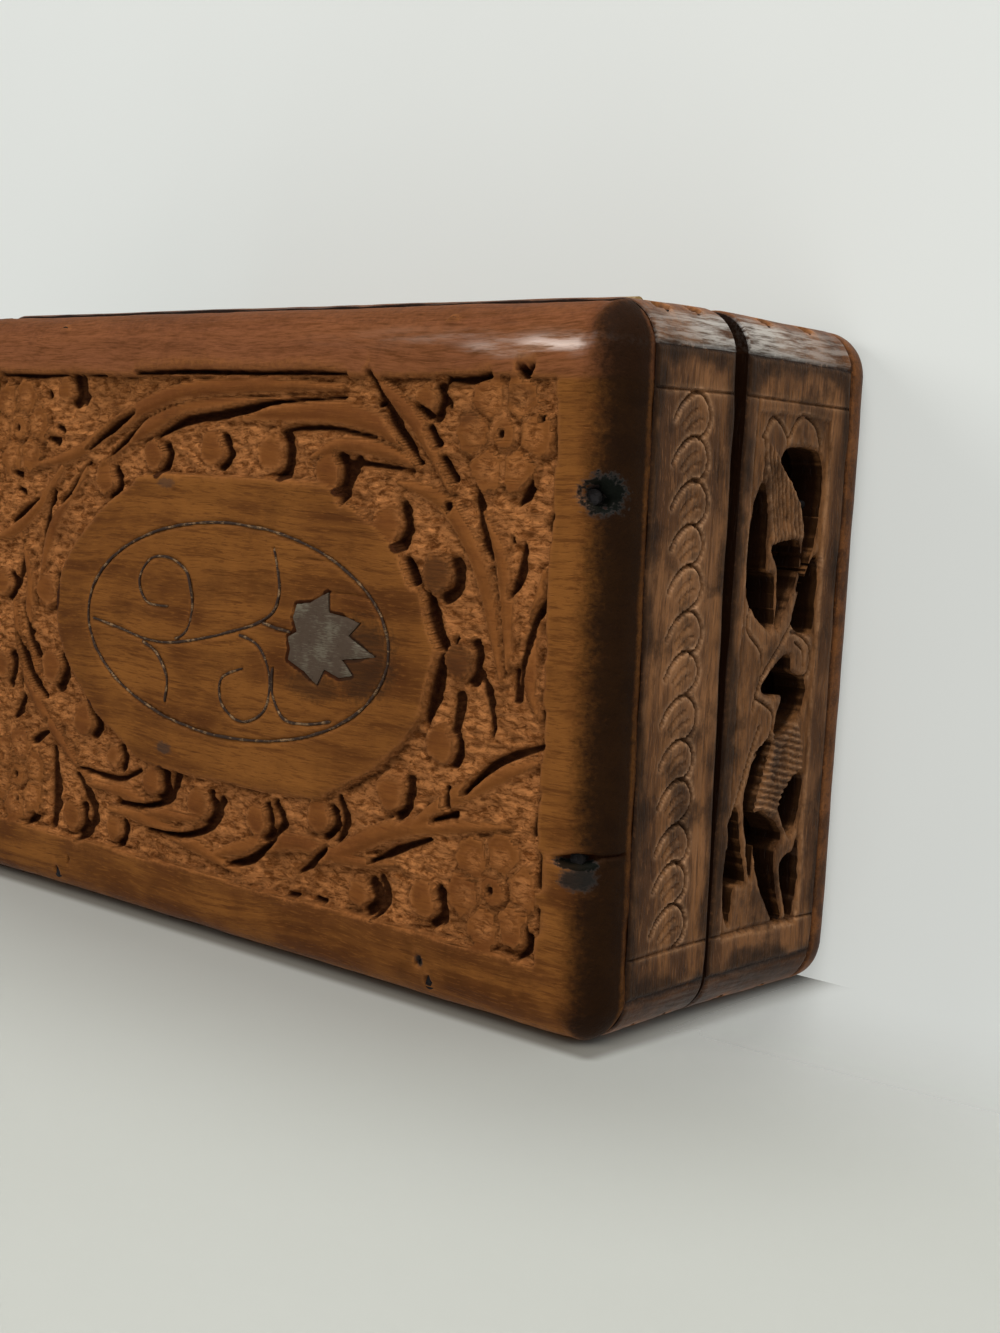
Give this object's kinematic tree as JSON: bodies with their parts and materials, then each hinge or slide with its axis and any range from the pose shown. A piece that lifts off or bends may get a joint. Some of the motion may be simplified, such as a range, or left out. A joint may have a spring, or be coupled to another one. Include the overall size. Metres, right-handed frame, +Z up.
{
  "type": "keepsake box",
  "caption": "Carved wooden keepsake box with a hinged lid, pierced end boards and a metal-inlaid medallion.",
  "frame": {"origin": "centre of the underside of the bottom board, on the surface that the box stands on", "axes": "+X along the box, +Y from the front to the hinged back, +Z up"},
  "size_m": [0.15, 0.1038, 0.0641],
  "materials": {
    "carved_wood": "hand-carved hardwood, waxed and worn",
    "side_wood": "reddish brown hardwood, worn to a soft gloss",
    "end_wood": "dull grey-brown hardwood",
    "dull_brass": "dull brass",
    "wire_brass": "tarnished thin wire",
    "grey_metal": "tarnished grey sheet metal, scratched",
    "rusty_iron": "rusty iron"
  },
  "bodies": {
    "base": {"bottom_board": "side_wood", "base_front_board": "side_wood", "base_back_board": "side_wood", "base_left_end": "end_wood", "base_right_end": "end_wood", "base_frame_nails": "rusty_iron", "bottom_nails": "rusty_iron", "left_hinge_base_leaf": "dull_brass", "right_hinge_base_leaf": "dull_brass", "left_hinge_pin": "dull_brass", "right_hinge_pin": "dull_brass", "base_hinge_nails": "dull_brass"},
    "lid": {"lid_panel": "carved_wood", "lid_front_board": "side_wood", "lid_back_board": "side_wood", "lid_left_end": "end_wood", "lid_right_end": "end_wood", "lid_frame_nails": "rusty_iron", "panel_nails": "rusty_iron", "left_hinge_lid_leaf": "dull_brass", "right_hinge_lid_leaf": "dull_brass", "lid_hinge_nails": "dull_brass", "inlay_oval": "wire_brass", "inlay_vine": "wire_brass", "inlay_leaf": "grey_metal"}
  },
  "joints": [
    {"name": "lid_hinge", "type": "hinge", "parent": "base", "child": "lid", "pos_m": [0, 0.0511, 0.03553], "axis": [-1, 0, 0], "range_deg": [0, 180]}
  ]
}
